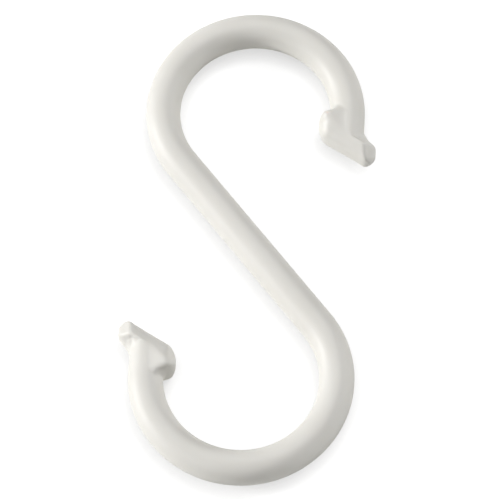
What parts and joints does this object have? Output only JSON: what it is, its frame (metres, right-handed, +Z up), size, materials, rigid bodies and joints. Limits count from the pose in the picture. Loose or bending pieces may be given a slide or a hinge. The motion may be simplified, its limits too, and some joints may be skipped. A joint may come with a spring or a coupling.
{
  "type": "s hook",
  "caption": "Moulded plastic S hook: a round rod bent into two open loops, each ending in a barbed, slanted tip that keeps a hung thing from slipping off.",
  "frame": {"origin": "on the surface that the hook lies on, under the middle of its straight length, which is the point about which half a turn brings the hook back onto itself", "axes": "+Y along the line through the centres of both loops, +X across the hook in its flat plane, +Z up, square to the flat plane"},
  "size_m": [0.0428, 0.089, 0.0074],
  "materials": {
    "s_hook": "off-white moulded plastic with a satin gloss"
  },
  "bodies": {
    "root": {"s_hook": "s_hook"}
  },
  "joints": []
}
